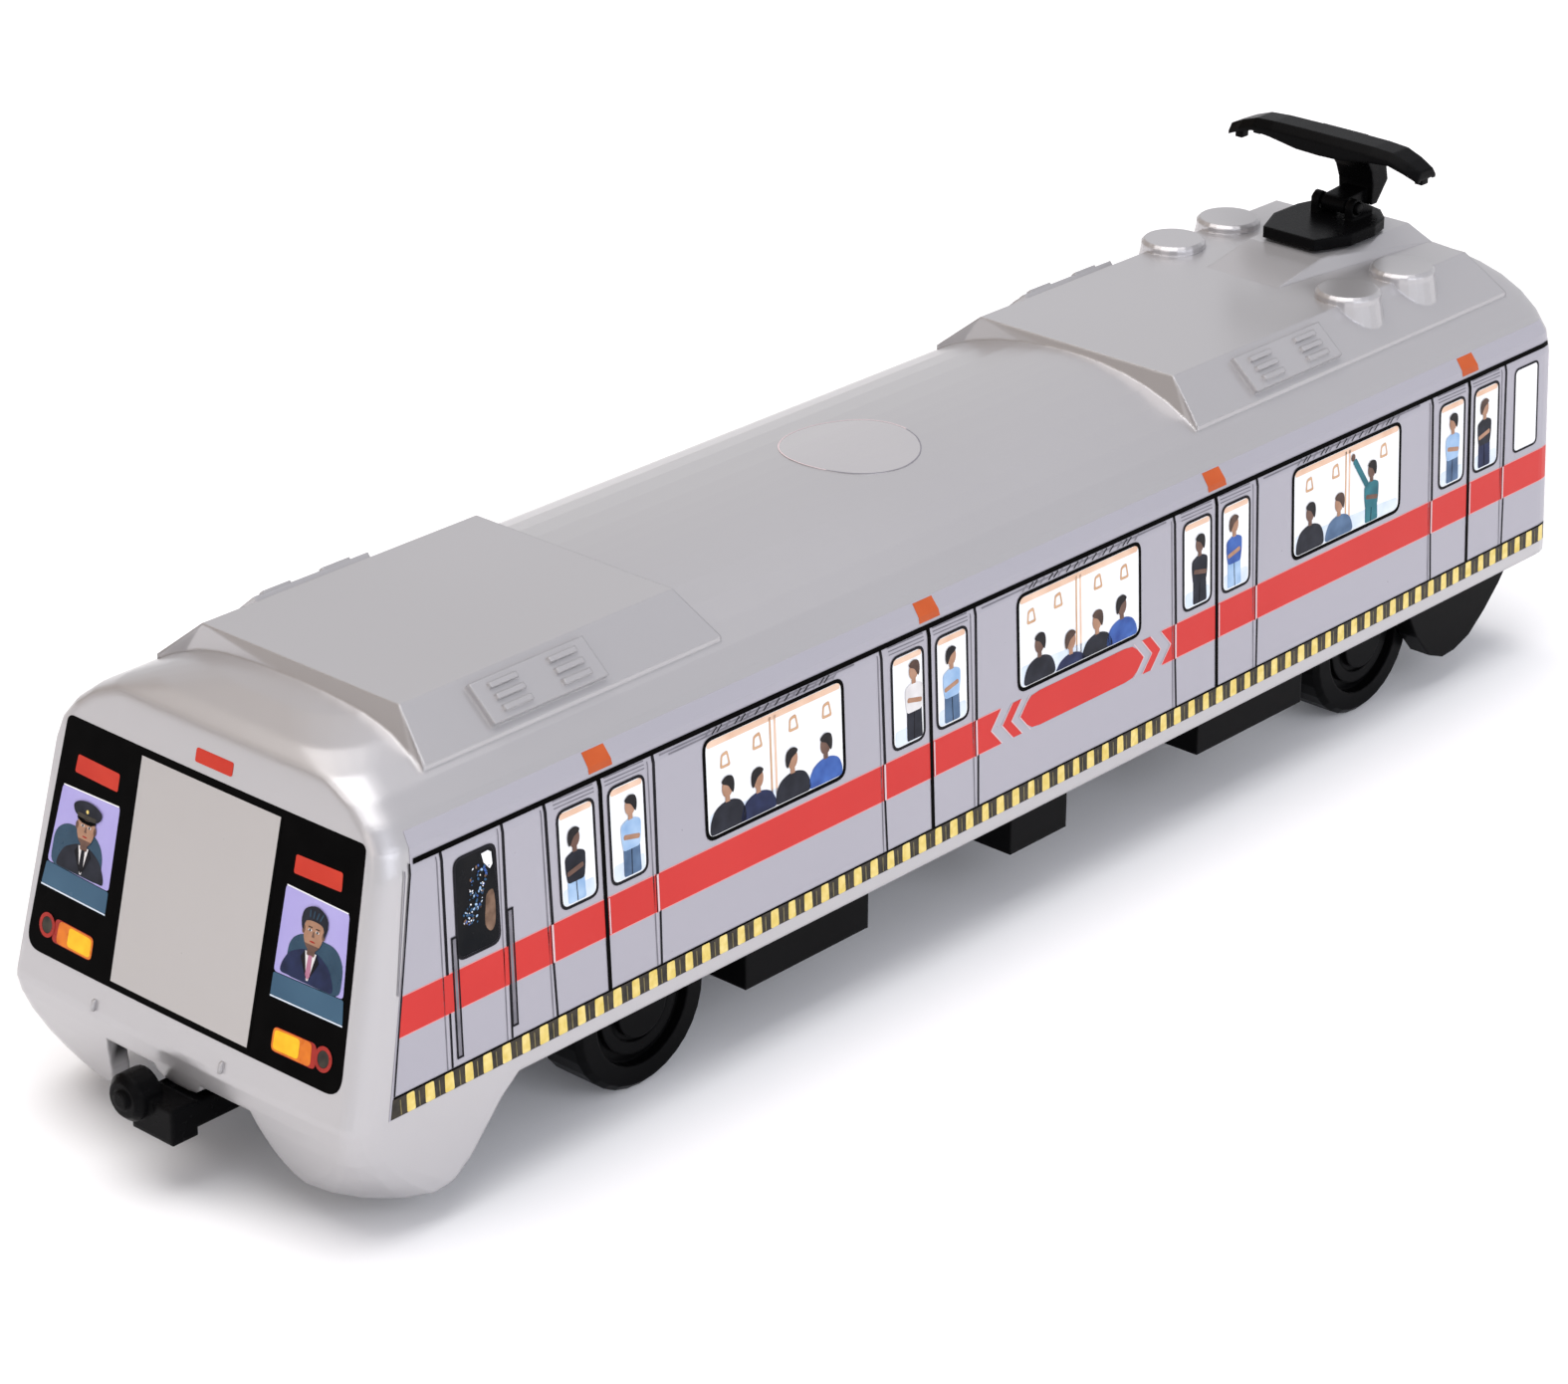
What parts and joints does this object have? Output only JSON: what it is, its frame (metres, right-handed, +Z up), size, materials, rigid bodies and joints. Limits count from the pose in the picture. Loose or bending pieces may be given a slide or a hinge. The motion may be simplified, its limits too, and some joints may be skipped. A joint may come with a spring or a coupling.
{
  "type": "toy metro car",
  "caption": "Toy metro car: moulded body shell on a chassis with free-rolling wheelsets, dummy couplers, roof hoods and a hinged roof current collector.",
  "frame": {"origin": "On the ground under the middle of the car, on its centre plane.", "axes": "+X points to the driver's end, +Y to the left side seen in the picture, +Z up."},
  "size_m": [0.167, 0.0406, 0.0508],
  "materials": {
    "shell": "pearly silver paint on moulded plastic",
    "chassis": "black moulded plastic, satin",
    "motor_case": "plain off-white motor case",
    "coupler": "black moulded plastic, satin",
    "axle": "plain drawn steel",
    "wheel": "black moulded plastic, satin",
    "collector": "black moulded plastic, satin"
  },
  "bodies": {
    "car": {"body_shell": "shell", "chassis": "chassis", "motor_block": "motor_case", "front_coupler": "coupler", "rear_coupler": "coupler", "collector_base": "collector"},
    "front_wheelset": {"front_axle": "axle", "front_wheel_left": "wheel", "front_wheel_right": "wheel"},
    "rear_wheelset": {"rear_axle": "axle", "rear_wheel_left": "wheel", "rear_wheel_right": "wheel"},
    "collector": {"collector_arm": "collector"}
  },
  "joints": [
    {"name": "front_wheelset_spin", "type": "hinge", "parent": "car", "child": "front_wheelset", "pos_m": [0.0443, 0, 0.00746], "axis": [0, 1, 0], "continuous": true},
    {"name": "rear_wheelset_spin", "type": "hinge", "parent": "car", "child": "rear_wheelset", "pos_m": [-0.054, 0, 0.00746], "axis": [0, 1, 0], "continuous": true},
    {"name": "collector_hinge", "type": "hinge", "parent": "car", "child": "collector", "pos_m": [-0.0692, 0, 0.0432], "axis": [0, 1, 0], "range_deg": [0, 35]}
  ]
}
